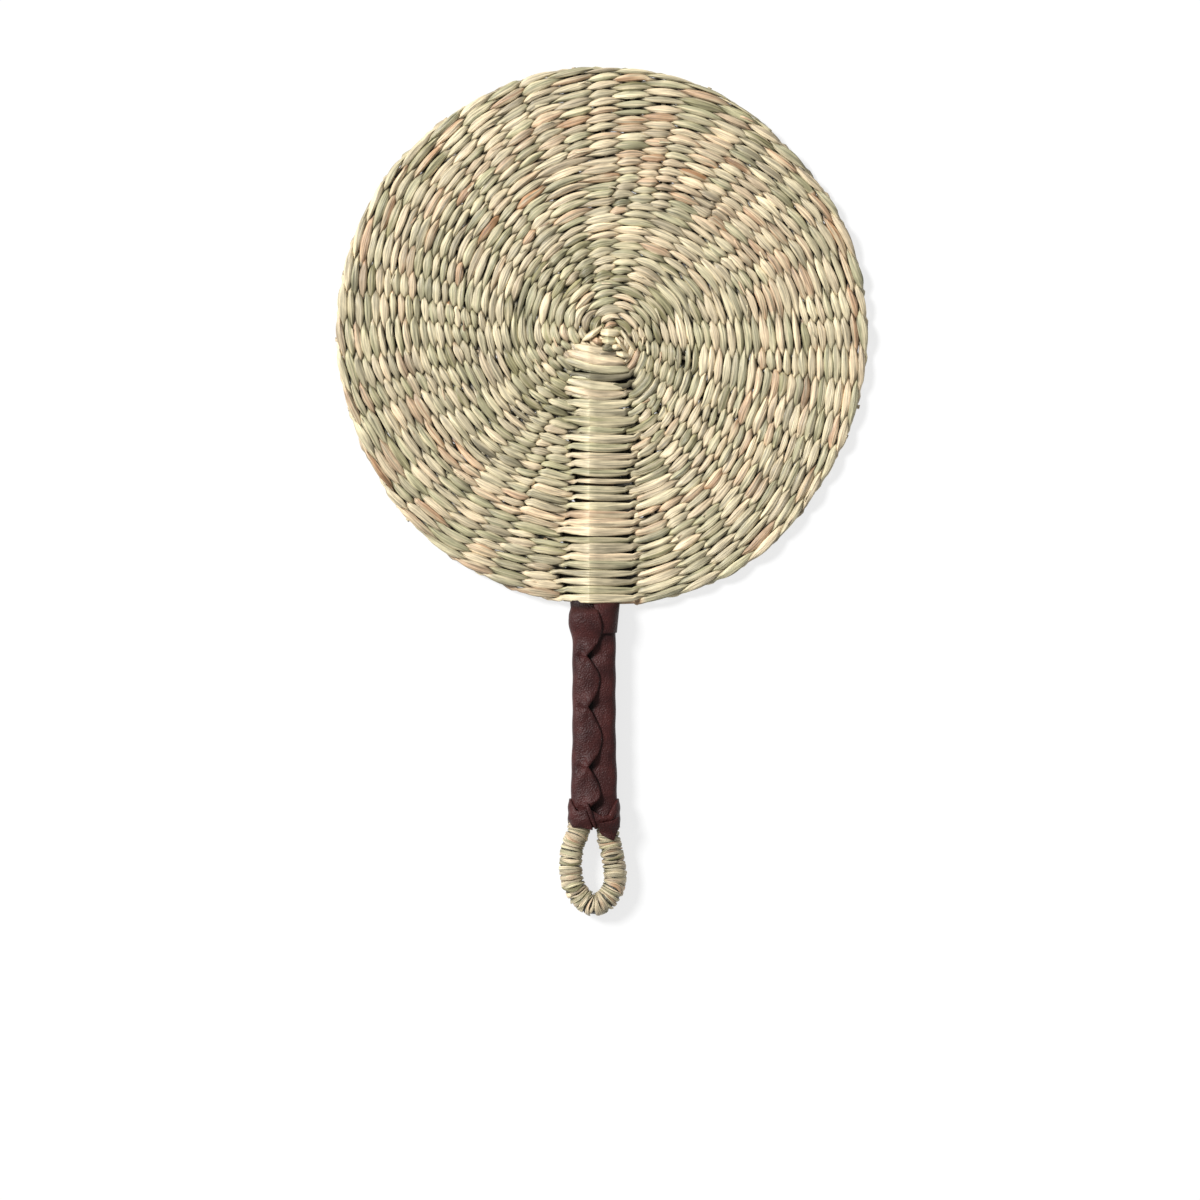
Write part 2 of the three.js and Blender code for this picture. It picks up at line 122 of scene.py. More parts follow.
# Band of long stitches over the stave
BAND_LEAN = -3  # of its middle at the rim
BAND_HALF = 12
BAND_FLARE = 0.068  # growth of that half width with the radius
BAND_HEAD = 0.62  # its limit near the centre, as a share of the radius
BAND_MARGIN = 4.5  # in which no spoke lies beside the band
BAND_HEAD_MARGIN = 0.8  # its limit near the centre, as a share of the radius
LONG_STITCH = 0.84  # share of the band over which a stitch lies on the stave
LONG_STITCH_TAPER = 1.12
LEFT_FOOT = 0.95  # share of the band's left half where the rise to the ridge starts
RIDGE_X = -7  # of the stave's ridge
RIDGE_SHARE = 0.5  # of the band's left half, where the band is narrow
RIDGE_ROUNDING = 0.3
RIDGE_SIDE = 1  # distance from the ridge up to which the painted highlight reaches
RIDGE_LIFT = (2.2, 8.6)  # of the stitches over the stave's ridge, at the centre and at the rim
RIDGE_PAINTED_HIGHLIGHT = 1.2  # painted highlight: the grass along the ridge is coloured paler, where light catches it
BAND_FLATNESS = 0.6  # how straight the courses run over the stave
BAND_SPREAD = (0.74, 1.2)  # how unevenly the long stitches end
ROW_SPREAD = (0.84, 1.26)  # and how their widths vary
HEAD_RADIUS = 29.5  # the strands that bind the stave's head cover the long stitches up to here
# painted shade on the long stitches that lie under the head strands
PAINTED_COVERED_SHADE = 0.4

# Grip
GRIP_X = -4.8  # its middle line, from which its details have their x
GRIP_TOP = -124.2
GRIP_BOTTOM = -230.8
SECTION_POWER = 3  # of the super-ellipse
FLAT_CUT = 1  # what its back lacks of the full round
LEATHER = 1.2
WRAP_BACK = 1.5
WRAP_TOP = 14.5
WRAP_HALF = 10.2
WRAP_BOTTOM_HALF = 10.8
WRAP_SWELL = (-185, -212)  # between these it widens
# The lap's edge by y and x: its cusps and the bulges between them
PINCHES = ((-124.2, 0.2), (-150.3, -3.6), (-174.3, -2.7), (-202.5, -2.7), (-221.9, -2.3))
BULGES = ((-139.4, 3.5), (-161.6, 3.0), (-189.8, 4.0), (-214.5, 3.2))
PINCH_REACH = 3.6
COLLAR_BOTTOM = -139.3
TOP_FALL = 3.0  # of the grip's front towards the disc
TOP_FALL_START = -131
COLLAR_PROUD = 0.6  # what the collar stands out over the wrap's sides
COLLAR_TUCK = 1  # of its end under the lap
COLLAR_END = -0.85 * math.pi  # the angle at which it ends behind
COLLAR_SLANT = 0.5
COLLAR_DIP = 3.5  # of its upper edge under the rim
COLLAR_DIP_SPAN = (-126, -124.6)
COLLAR_EDGE = 0.15  # what its lower edge, under the lap, stands out
LAP_STEP = LEATHER + 0.3  # height of one layer of leather over the next
UNDER_EDGE_X = -6.5  # the wrap's first edge, under the lap
UNDER_SINK = (0.02 * math.pi, 0.4 * math.pi)  # angles between which it goes down under the lap
UNDER_DIP = 0.8  # of that layer at a pinch
UNDER_DIP_SPAN = (0.3 * math.pi, 0.5 * math.pi)
UNDER_FOLD_X = -0.6  # a fold in that layer, which shows through the first pinch
UNDER_FOLD_EDGE = 0.3
UNDER_FOLD_DEPTH = 0.5
UNDER_FOLD_RISE = 2  # of its middle over the pinch
UNDER_FOLD_REACH = 6
PAINTED_HOLE_SHADE = 0.06  # painted shade of the leather inside a pinch
HOLE_RADIUS = 2.4
HOLE_EDGE = (0.4, 1.3)  # shares of that radius between which the painted shade ends
HOLE_PLACE = (0.6, 1.0)  # of a hole's middle from the cusp
HOLE_STRETCH = 0.6
PAINTED_TOP_SHADE = 0.3  # painted shade where the wrap turns in under the disc
TOP_SHADE_SPAN = (-128.8, -126.6)
WAVE_HEIGHT = 0.12  # of the wrap's unevenness
CREASE_HEIGHT = 0.75
CREASE_COUNT = 5  # folds around a pinch
CREASE_TURN = 2.2
CREASE_REACH = 7
CREASE_START = 2.5
GATHER_DEPTH = 0.9  # of the hollow beside a pinch
GATHER_PLACE = 0.72  # share of the lap
GATHER_REACH = 0.16
EDGE_FALL = 0.85  # of the lap's edge between two pinches, where it lies flat
EDGE_FALL_SPAN = (-136, -144)
EDGE_RISE = 1.3  # of the edge above a pinch
EDGE_RISE_PLACE = 3
EDGE_POWER = 6  # so that both keep near the edge
FLARE = 1.9  # what the lap stands out over the collar
FLARE_SPAN = (-143.5, -134)
FLARE_LOSS = 0.6  # share of it that goes towards the disc
FLARE_LOSS_SPAN = (-131.5, -126.5)
FLARE_ANGLES = (-0.7 * math.pi, -1.05 * math.pi)
TAB_WAVE = 0.14
TAB_SAG = 0.35  # slope of a tab's front near the grip's end
TAB_SAG_LENGTH = 4
TAB_ROLL = 0.5  # of a tab's upper edge
LEFT_TAB_UPPER = ((-12.3, -217.5), (-8.8, -222.8), (-3.4, -223), (-0.7, -230))
LEFT_TAB_LOWER = ((-12.3, -229.6), (-0.7, -232))
RIGHT_TAB_UPPER = ((-2.3, -222), (4, -225.4), (7.2, -224.9), (12.3, -217.5))
RIGHT_TAB_LOWER = ((-2.3, -223.5), (1.2, -230.6), (12.3, -231))
TAIL_UPPER = ((2.3, -228.8), (4, -228.5), (9.3, -227.2), (11.8, -225.5))
TAIL_LOWER = ((2.3, -232.2), (3.5, -234.3), (9.3, -237.1), (11.8, -230.5))
TAIL_FOLD = (-228, -234)  # between these it goes down from the tab to the loop's leg
LEG_X = 6.6
LEG_RADIUS = 6.4  # with its winding
KEEPER_TOP = (-3.6, -219)
KEEPER_END = (1.0, -231.5)
KEEPER_RADII = (1.1, 0.8)
KEEPER_RISE = 0.5  # of its middle over the tabs
KEEPER_FALL = 3  # at its end

# Loop
LOOP_HEIGHT = 6.6
LOOP_LINE = (
    (-6.4, -224), (-7.2, -232.2), (-9.8, -239), (-10.8, -245), (-11.0, -251),
    (-9.6, -258), (-5.6, -264.5), (0.0, -267.3), (5.6, -264.8), (9.2, -259),
    (9.9, -253), (9.2, -247), (8.0, -241), (6.6, -234), (6.2, -224),
)
LOOP_CORE_RADIUS = 4.5
LOOP_CORE_TONE = 0.3
LOOP_CORE_PAINTED_SHADE = 0.14  # painted shade: the core is coloured near black, as it lies in shadow under its winding
LOOP_TURNS = 84
KNOTS_PER_TURN = 4  # places where the strip's width, slant and look change
STRIP_TONE = 0.55
STRIP_TONE_SPREAD = 1.25
STRIP_SHADES = (0.83, 0.17)
STRIP_WANDER = 0.62  # share of the pitch
STRIP_LIFT_SPREAD = 0.16
STRIP_WIDTHS = (0.5, 1.9)  # times the usual width
STRIP_HALF_WIDTH = 0.55  # share of the pitch
STRIP_HEIGHT = 0.6  # over the core
STRIP_THICKNESS = 0.5
STRIP_TILT = 0.22  # one edge of each turn lies over the turn before


def smoothstep(low, high, value):
    share = np.clip((value - low) / (high - low), 0, 1)
    return share * share * (3 - 2 * share)


def lerp(a, b, share):
    return a + (b - a) * share


def hump(value):
    """A round hump, 1 at value 0."""
    return math.exp(-(value ** 2))


# Meshes


def to_frame(points):
    """Millimetres from the disc's centre to metres in the part's frame."""
    placed = np.asarray(points, dtype=float) * MM
    placed[..., 0] += DISC_CENTRE[0]
    placed[..., 1] += DISC_CENTRE[1]
    return placed


def link(piece):
    bpy.context.scene.collection.objects.link(piece)
    return piece


def add_mesh(name, points, faces, material, nodes, attributes):
    """One dressed piece, with its looks as attributes of its points."""
    mesh = bpy.data.meshes.new(name)
    mesh.from_pydata(to_frame(points).tolist(), [], faces)
    mesh.polygons.foreach_set("use_smooth", [True] * len(mesh.polygons))
    for key, values in attributes.items():
        kind = "FLOAT_VECTOR" if np.ndim(values) == 2 else "FLOAT"
        layer = mesh.attributes.new(key, kind, "POINT")
        layer.data.foreach_set("vector" if kind == "FLOAT_VECTOR" else "value", np.ravel(values))
    mesh.materials.append(material)
    mesh.update()
    piece = link(bpy.data.objects.new(name, mesh))
    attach(piece, "root")
    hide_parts(*nodes)


def tube_faces(ring_count, sides, first=0):
    """Faces of a closed tube whose points lie ring after ring."""
    faces = []
    for i in range(ring_count - 1):
        for j in range(sides):
            a = first + i * sides + j
            b = first + i * sides + (j + 1) % sides
            faces.append((a, b, b + sides, a + sides))
    last = first + (ring_count - 1) * sides
    faces.append(tuple(range(first + sides - 1, first - 1, -1)))
    faces.append(tuple(range(last, last + sides)))
    return faces


def sheet_faces(rows, columns):
    """Faces of a sheet with thickness: its outer grid, then its inner grid, joined along the edges."""
    inside = rows * columns
    faces = []
    for i in range(rows - 1):
        for j in range(columns - 1):
            a = i * columns + j
            faces.append((a, a + 1, a + 1 + columns, a + columns))
            b = inside + a
            faces.append((b, b + columns, b + 1 + columns, b + 1))
    for j in range(columns - 1):
        a = (rows - 1) * columns + j
        faces.append((j + 1, j, inside + j, inside + j + 1))
        faces.append((a, a + 1, inside + a + 1, inside + a))
    for i in range(rows - 1):
        a = i * columns
        b = a + columns - 1
        faces.append((a, a + columns, inside + a + columns, inside + a))
        faces.append((b + columns, b, inside + b, inside + b + columns))
    return faces


# Materials


class Nodes:
    """Short hand for building one material's nodes."""

    def __init__(self, name):
        self.material = bpy.data.materials.new(name)
        self.material.use_nodes = True
        self.tree = self.material.node_tree
        self.shader = self.tree.nodes["Principled BSDF"]

    def add(self, kind, inputs=None, **settings):
        node = self.tree.nodes.new(kind)
        for key, value in settings.items():
            setattr(node, key, value)
        for key, value in (inputs or {}).items():
            self.set(node.inputs[key], value)
        return node

    def set(self, socket, value):
        if isinstance(value, bpy.types.NodeSocket):
            self.tree.links.new(value, socket)
        else:
            socket.default_value = value

    def attribute(self, name, output="Fac"):
        return self.add("ShaderNodeAttribute", attribute_name=name).outputs[output]

    def math(self, operation, a, b=0.0):
        return self.add("ShaderNodeMath", {0: a, 1: b}, operation=operation).outputs[0]

    def noise(self, vector, scale, detail=2.0, roughness=0.5):
        inputs = {"Vector": vector, "Scale": scale, "Detail": detail, "Roughness": roughness}
        return self.add("ShaderNodeTexNoise", inputs).outputs["Fac"]

    def scaled(self, vector, factors):
        return self.add("ShaderNodeVectorMath", {0: vector, 1: factors}, operation="MULTIPLY").outputs[0]

    def ramp(self, factor, stops):
        node = self.add("ShaderNodeValToRGB", {"Fac": factor})
        elements = node.color_ramp.elements
        while len(elements) < len(stops):
            elements.new(0.5)
        for element, (position, colour) in zip(elements, stops):
            element.position = position
            element.color = (*colour, 1)
        return node.outputs["Color"]

    def spread(self, factor, low, high, to_low, to_high):
        inputs = {"Value": factor, "From Min": low, "From Max": high, "To Min": to_low, "To Max": to_high}
        return self.add("ShaderNodeMapRange", inputs).outputs["Result"]

    def mix(self, factor, a, b, blend="MIX"):
        node = self.add("ShaderNodeMix", data_type="RGBA", blend_type=blend)
        self.set(node.inputs[0], factor)
        self.set(node.inputs[6], a)
        self.set(node.inputs[7], b)
        return node.outputs[2]

    def grey(self, shade):
        return self.add("ShaderNodeCombineColor", {"Red": shade, "Green": shade, "Blue": shade}).outputs[0]

    def bump(self, height, strength, distance, normal=None):
        inputs = {"Height": height, "Strength": strength, "Distance": distance}
        node = self.add("ShaderNodeBump", inputs)
        if normal:
            self.set(node.inputs["Normal"], normal)
        return node.outputs["Normal"]


def linear(red, green, blue):
    """A colour as it shows on a screen, 0 to 255, as linear light."""
    shares = (value / 255 for value in (red, green, blue))
    return tuple(s / 12.92 if s <= 0.04045 else ((s + 0.055) / 1.055) ** 2.4 for s in shares)


GRASS_TONES = (
    (0.0, linear(158, 150, 108)),
    (0.25, linear(194, 188, 150)),
    (0.5, linear(226, 211, 176)),
    (0.7, linear(236, 214, 178)),
    (0.86, linear(222, 188, 152)),
    (1.0, linear(186, 140, 98)),
)
TONE_CHOICES = (0.06, 0.2, 0.32, 0.45, 0.55, 0.66, 0.76, 0.86, 0.95)
TONE_SHARES = (0.06, 0.14, 0.15, 0.15, 0.13, 0.14, 0.12, 0.1, 0.01)


def grass_material():
    """Dry grass: tone and shade come from each strand, fibres run along it. The shade holds random
    brightness, painted shade and painted highlight.
    """
    n = Nodes("seagrass")
    fibre = n.attribute("fibre", "Vector")
    base = n.ramp(n.attribute("tone"), GRASS_TONES)
    lines = n.noise(n.scaled(fibre, (0.05, 1.15, 1.0)), 1.0, 3.0, 0.6)
    blotches = n.noise(n.scaled(fibre, (0.16, 0.5, 1.0)), 1.0, 2.0)
    leaves = n.noise(n.scaled(fibre, (0.03, 0.5, 1.0)), 1.0, 1.0)
    splits = n.noise(n.scaled(fibre, (0.045, 0.85, 1.0)), 1.0, 0.0)
    shade = n.math("MULTIPLY", n.attribute("shade"), n.spread(lines, 0.32, 0.68, 0.52, 1.26))
    shade = n.math("MULTIPLY", shade, n.spread(blotches, 0.3, 0.7, 0.84, 1.1))
    shade = n.math("MULTIPLY", shade, n.spread(splits, 0.34, 0.42, 0.62, 1.0))
    pale = n.mix(n.spread(leaves, 0.47, 0.58, 0.0, 0.65), base, (*linear(236, 220, 182), 1))
    n.set(n.shader.inputs["Base Color"], n.mix(1.0, pale, n.grey(shade), "MULTIPLY"))
    n.set(n.shader.inputs["Roughness"], n.spread(lines, 0.3, 0.7, 0.36, 0.6))
    n.shader.inputs["Specular IOR Level"].default_value = 0.55
    n.set(n.shader.inputs["Normal"], n.bump(lines, 0.8, 0.0009))
    return n.material


def leather_material():
    """Dark brown leather with a fine pebble grain."""
    n = Nodes("leather")
    place = n.add("ShaderNodeTexCoord").outputs["Object"]
    pebbles = n.add("ShaderNodeTexVoronoi", {"Vector": place, "Scale": 1600.0}, feature="SMOOTH_F1")
    pebble = pebbles.outputs["Distance"]
    broad = n.noise(place, 130.0, 3.0)
    fine = n.noise(place, 2600.0, 2.0)
    dark = (*linear(45, 18, 18), 1)
    light = (*linear(84, 40, 37), 1)
    colour = n.mix(n.spread(broad, 0.3, 0.7, 0.1, 0.8), dark, light)
    colour = n.mix(n.math("MULTIPLY", pebble, 0.45), colour, (*linear(24, 12, 12), 1))
    # the shade attribute is painted shade inside the pinches and where the wrap turns in under the disc
    grey = n.grey(n.attribute("shade"))
    n.set(n.shader.inputs["Base Color"], n.mix(1.0, colour, grey, "MULTIPLY"))
    n.set(n.shader.inputs["Roughness"], n.spread(fine, 0.3, 0.7, 0.42, 0.6))
    n.shader.inputs["Specular IOR Level"].default_value = 0.25
    grain = n.bump(pebble, 0.9, 0.00035)
    n.set(n.shader.inputs["Normal"], n.bump(broad, 0.18, 0.0008, grain))
    return n.material


def wood_material():
    """Plain stick with long grain."""
    n = Nodes("stave_wood")
    place = n.scaled(n.add("ShaderNodeTexCoord").outputs["Object"], (420.0, 14.0, 420.0))
    grain = n.noise(place, 1.0, 3.0)
    colour = n.ramp(grain, ((0.3, linear(72, 54, 36)), (0.7, linear(108, 84, 58))))
    n.set(n.shader.inputs["Base Color"], colour)
    n.set(n.shader.inputs["Roughness"], n.spread(grain, 0.3, 0.7, 0.55, 0.75))
    n.set(n.shader.inputs["Normal"], n.bump(grain, 0.3, 0.0004))
    return n.material


GRASS = grass_material()
HIDE = leather_material()
WOOD = wood_material()

# The weave

FULL_TURN = (DISC_RADIUS - FIRST_EDGE) / COURSE_PITCH
LAST_TURN = FULL_TURN + RUN_OUT


def outer_edge(turn):
    """The spiral's outer edge. At its end the last course narrows into the one before."""
    fall = np.clip((turn - FULL_TURN) / RUN_OUT, 0, 1)
    return FIRST_EDGE + COURSE_PITCH * turn - fall * (COURSE_PITCH - LEAST_COURSE)


def inner_edge(turn):
    return KNOT_RADIUS if turn < 1 else outer_edge(turn - 1)


def course_radius(turn):
    return (outer_edge(turn) + inner_edge(turn)) / 2


def course_width(turn):
    return outer_edge(turn) - inner_edge(turn)


def rim_radius(angle):
    """The disc's edge at an angle clockwise from the stave."""
    return outer_edge(LAST_TURN - (LAST_TURN - angle / (2 * math.pi)) % 1)


def band_middle(radius):
    return BAND_LEAN * radius / DISC_RADIUS


def band_half(radius):
    """Half the width of the long stitches over the stave."""
    return min(BAND_HALF + BAND_FLARE * radius, BAND_HEAD * radius)


def out_of_round(radius, angle):
    """What a hand-made disc departs from a circle, in millimetres at this radius."""
    swing = sum(size * math.sin(count * angle + phase) for count, size, phase in OUT_OF_ROUND)
    return swing * radius / DISC_RADIUS


def disc_point(radius, angle, height):
    """A point of the disc, at an angle clockwise from the stave. Courses run straight over the stave."""
    true_radius = radius + out_of_round(radius, angle)
    x = -true_radius * math.sin(angle)
    y = -true_radius * math.cos(angle)
    across = x - band_middle(radius)
    half = band_half(radius)
    if y < 0 and abs(across) < half:
        sides = (band_middle(radius) + way * half for way in (-1, 1))
        ends = [-math.sqrt(true_radius ** 2 - side ** 2) for side in sides]
        y = lerp(y, lerp(*ends, (across + half) / (2 * half)), BAND_FLATNESS)
    shift = 1 - float(smoothstep(*COIL_SHIFT_FADE, radius))
    return (x + COIL_SHIFT[0] * shift, y + COIL_SHIFT[1] * shift, MIDDLE_PLANE + height)


def spoke_level(spoke):
    """How many steps lie between this spoke and those that start as early."""
    step = BASE_STEP
    while spoke % step:
        step //= 2
    return step


SPOKE_ANGLES = [
    2 * math.pi * spoke / FINEST_SPOKES + (RANDOM.uniform(-1, 1) * SPOKE_ANGLE_SPREAD if spoke else 0)
    for spoke in range(FINEST_SPOKES)
]
STITCH_NEEDS = RANDOM.uniform(*STITCH_SPREAD, FINEST_SPOKES)
WANDER_PHASES = RANDOM.uniform(0, 2 * math.pi, FINEST_SPOKES)


def spoke_angle(spoke, turn):
    return SPOKE_ANGLES[spoke] + SPOKE_WANDER * math.sin(WANDER_RATE * turn + WANDER_PHASES[spoke])


def has_room(spoke, radius):
    step = spoke_level(spoke)
    need = LEAST_STITCHES[step] * STITCH_NEEDS[spoke]
    if math.cos(SPOKE_ANGLES[spoke]) > 0:
        x = -radius * math.sin(SPOKE_ANGLES[spoke])
        margin = min(band_half(radius) + BAND_MARGIN, BAND_HEAD_MARGIN * radius)
        beside = abs(x - band_middle(radius)) - margin
        if beside < 0:
            return False
        if beside < FIRST_SPOKE_REACH:
            need *= FIRST_SPOKE_NEED
    return radius * 2 * math.pi * step / FINEST_SPOKES >= need


def first_turn(spoke):
    turn = spoke / FINEST_SPOKES
    while turn < LAST_TURN and not has_room(spoke, course_radius(turn)):
        turn += 1
    return turn


SPOKE_STARTS = [0.0] + [first_turn(spoke) for spoke in range(1, FINEST_SPOKES)]


def band_place(turn, x):
    """Where the course of this turn passes a place across the stave."""
    angle = math.asin(max(-1.0, min(1.0, -x / course_radius(turn))))
    return (turn + angle / (2 * math.pi), angle)


def spoke_crossing(turn, spoke):
    shift = RANDOM.normal(0, PLACE_SPREAD) / max(course_radius(turn), STEADY_RADIUS)
    return {
        "places": [(turn, spoke_angle(spoke, turn) + shift)],
        "lifts": [WEFT_LIFT],
        "full": [1.0],
        "painted_highlight": [1.0],
        "least": CROSSING_WIDTH,
        "shade": 1.0,
        "enter": None,
        "leave": None,
    }


def stave_crossing(turn):
    """On the stave a long stitch runs from right to left over the ridge."""
    radius = course_radius(turn)
    middle = band_middle(radius)
    right_half, left_half = band_half(radius) * RANDOM.uniform(*BAND_SPREAD, 2)
    fullness = RANDOM.uniform(*ROW_SPREAD)
    rise = lerp(*RIDGE_LIFT, radius / DISC_RADIUS)
    ridge = max(RIDGE_X, middle - RIDGE_SHARE * left_half)

    def lift(x):
        edge = middle + right_half if x > ridge else middle - LEFT_FOOT * left_half
        return WEFT_LIFT + rise * max(0.0, (x - edge) / (ridge - edge))

    def full(x):
        half = right_half if x > middle else left_half
        return fullness * math.cos(LONG_STITCH_TAPER * (x - middle) / half)

    right = np.linspace(middle + LONG_STITCH * right_half, ridge + RIDGE_ROUNDING, 6)
    left = np.linspace(ridge - RIDGE_ROUNDING, middle - LONG_STITCH * left_half, 4)
    xs = (*right, *left)
    return {
        "places": [band_place(turn, x) for x in xs],
        "lifts": [lift(x) for x in xs],
        "full": [full(x) for x in xs],
        # painted highlight on the grass along the ridge
        "painted_highlight": [RIDGE_PAINTED_HIGHLIGHT if abs(x - ridge) < RIDGE_SIDE else 1.0 for x in xs],
        "least": BAND_CROSSING_WIDTH,
        # painted shade under the head strands
        "shade": PAINTED_COVERED_SHADE if radius < HEAD_RADIUS else 1.0,
        "enter": band_place(turn, middle + right_half),
        "leave": band_place(turn, middle - left_half),
    }


def weft_crossings():
    """All places where the weft passes a spoke or the stave, from the centre outwards."""
    found = []
    for step in range(1, int(LAST_TURN * FINEST_SPOKES) + 1):
        turn = step / FINEST_SPOKES
        spoke = step % FINEST_SPOKES
        if spoke == 0:
            found.append(stave_crossing(turn))
        elif turn >= SPOKE_STARTS[spoke]:
            found.append(spoke_crossing(turn, spoke))
    return found


def strand_tones(count):
    """A tone for each stitch: grass of one tone runs for a while, then a new length is spliced in."""
    tones = []
    while len(tones) < count:
        length = int(RANDOM.integers(*GRASS_RUNS))
        tones.extend([RANDOM.choice(TONE_CHOICES, p=TONE_SHARES)] * length)
    return np.clip(np.array(tones[:count]) + RANDOM.normal(0, TONE_SPREAD, count), 0, 1)


FIBRE_BREAK = 50  # so that the next length of grass has other fibres


class Strand:
    """Collects the points, faces and looks of lengths of grass that make up one mesh."""

    def __init__(self):
        self.points = []
        self.faces = []
        self.tones = []
        self.shades = []
        self.fibre = []
        self.first = 0
        self.rings = 0
        self.length = 0.0
        self.last = None

    def ring(self, points, across, tone, shade):
        """One more ring. The shade is one value or one for each point."""
        middle = np.mean(points, axis=0)
        if self.last is not None:
            self.length += float(np.linalg.norm(middle - self.last))
        self.last = middle
        self.rings += 1
        self.points.extend(points)
        self.tones.extend([tone] * len(points))
        self.shades.extend(np.broadcast_to(shade, len(points)))
        self.fibre.extend((self.length, value, 0.0) for value in across)

    def close(self):
        """Ends the present length, so that the next ring starts a new one."""
        sides = (len(self.points) - self.first) // self.rings
        self.faces.extend(tube_faces(self.rings, sides, self.first))
        self.first = len(self.points)
        self.rings = 0
        self.length += FIBRE_BREAK
        self.last = None

    def add(self, name, slot, nodes):
        looks = {"tone": self.tones, "shade": self.shades, "fibre": np.array(self.fibre)}
        add_mesh(name, self.points, self.faces, GRASS, nodes, looks)


def lobed_section(half, thickness, turned, keen=0.0):
    """A strand's section, across and up: a flat oval of a few leaves that can come to an edge in front."""
    section = []
    for j in range(STRAND_SIDES):
        a = 2 * math.pi * j / STRAND_SIDES
        swell = 1 + LOBE_DEPTH * math.cos(STRAND_LOBES * a + turned)
        narrow = 1 - keen * max(0.0, math.sin(a))
        section.append((half * swell * narrow * math.cos(a), thickness / 2 * swell * math.sin(a)))
    return section


def painted_gap_shade(height, up, thickness):
    """Painted shade: grass is coloured darker where it faces the disc's middle plane or lies in it, down in
    the weave's gaps.
    """
    outwards = math.copysign(2 * up / thickness, height * up) if height else 0
    away = smoothstep(*SHADE_DEPTH, abs(height + up))
    least = PAINTED_GAP_SHADE if up >= 0 else PAINTED_BACK_GAP_SHADE
    return lerp(least, 1, smoothstep(*SHADE_FACING, outwards)) * lerp(least, 1, away)


def weft_ring(strand, place, height, share, offset, thickness, keen, roll, tone, shade):
    """Adds one ring. Share and offset are shares of the course's width, and the roll turns the section."""
    turn, angle = place
    width = course_width(turn)
    radius = course_radius(turn) + offset * width
    half = max(share * width - STRAND_GAP, LEAST_STRAND) / 2
    section = lobed_section(half, thickness, strand.length / LOBE_LENGTH, keen)
    points = [
        disc_point(
            radius + across * math.cos(roll) - up * math.sin(roll),
            angle,
            height + across * math.sin(roll) + up * math.cos(roll),
        )
        for across, up in section
    ]
    # painted shade towards the weave's gaps, left off the outer side of the last course
    at_rim = turn > LAST_TURN - 1
    shades = [
        shade if at_rim and across > 0 else shade * painted_gap_shade(height, up, thickness)
        for across, up in section
    ]
    strand.ring(points, [across for across, up in section], tone, shades)


def blend_place(a, b, share):
    """A place between two places that lie less than half a turn apart."""
    step = (b[1] - a[1] + math.pi) % (2 * math.pi) - math.pi
    return (lerp(a[0], b[0], share), a[1] + step * share)


def turning_place(before, after):
    """Where the two strands turn about each other between two crossings."""
    between = blend_place(before["places"][-1], after["places"][0], 0.5)
    return after["enter"] or before["leave"] or between


def weft_strand(crossings, starts_in_front):
    """One strand of the pair: in front of every second crossing, behind the others, turned between them."""
    strand = Strand()
    count = len(crossings)
    tones = strand_tones(count)
    shades = RANDOM.normal(*STITCH_SHADES, count)
    widths = RANDOM.normal(*STITCH_WIDTHS, count)
    lifts = RANDOM.normal(0, STITCH_LIFT_SPREAD, count)
    rolls = RANDOM.normal(0, STITCH_ROLL_SPREAD, count)
    shifts = RANDOM.normal(0, STITCH_SHIFT_SPREAD, count)
    for i, crossing in enumerate(crossings):
        side = 1 if (i % 2 == 0) == starts_in_front else -1
        places = crossing["places"]
        before = turning_place(crossings[i - 1], crossing) if i else places[0]
        after = turning_place(crossing, crossings[i + 1]) if i + 1 < count else places[-1]

        def add_ring(place, lift, full, share, way, painted_highlight=1.0):
            """A ring between a turning place, share 0, and the crossing, share 1."""
            phase = lerp(side * STITCH_LAP, 1, share) * math.pi / 2
            nearness = abs(math.sin(phase))
            bulge = nearness ** BULGE_POWER
            taper = FRONT_TAPER if side * phase > 0 else BACK_TAPER
            keen = min(KEENEST, KEENNESS * (1 - nearness)) if side * phase >= 0 else 0.0
            weft_ring(
                strand,
                place,
                math.copysign((lift + lifts[i]) * bulge, side * phase),
                lerp(crossing["least"], full * widths[i], nearness ** taper),
                way * side * WEFT_TWIST * math.cos(phase) + shifts[i],
                WEFT_THICKNESS * lerp(CROSSING_THICKNESS, 1.0, bulge),
                keen,
                rolls[i] * bulge,
                tones[i],
                # random brightness of each stitch, times painted shade under the head strands and a painted
                # highlight on the ridge
                shades[i] * crossing["shade"] * painted_highlight,
            )

        back_width = RIM_BACK_WIDTH if places[0][0] > LAST_TURN - RIM_TURNS else BACK_WIDTH
        full = crossing["full"] if side > 0 else [back_width] * len(places)
        heights = crossing["lifts"] if side > 0 else [WEFT_LIFT] * len(places)
        for k in range(RINGS_PER_STEP):
            share = k / RINGS_PER_STEP
            add_ring(blend_place(before, places[0], share), heights[0], full[0], share, -1)
        # the painted highlight on the ridge goes on the front strands only
        painted_highlight = crossing["painted_highlight"] if side > 0 else [1.0] * len(places)
        for place, height, fullness, highlight in zip(places, heights, full, painted_highlight):
            add_ring(place, height, fullness, 1.0, 0, highlight)
        for k in range(1, RINGS_PER_STEP):
            share = k / RINGS_PER_STEP
            add_ring(blend_place(places[-1], after, share), heights[-1], full[-1], 1 - share, 1)
    strand.close()
    return strand


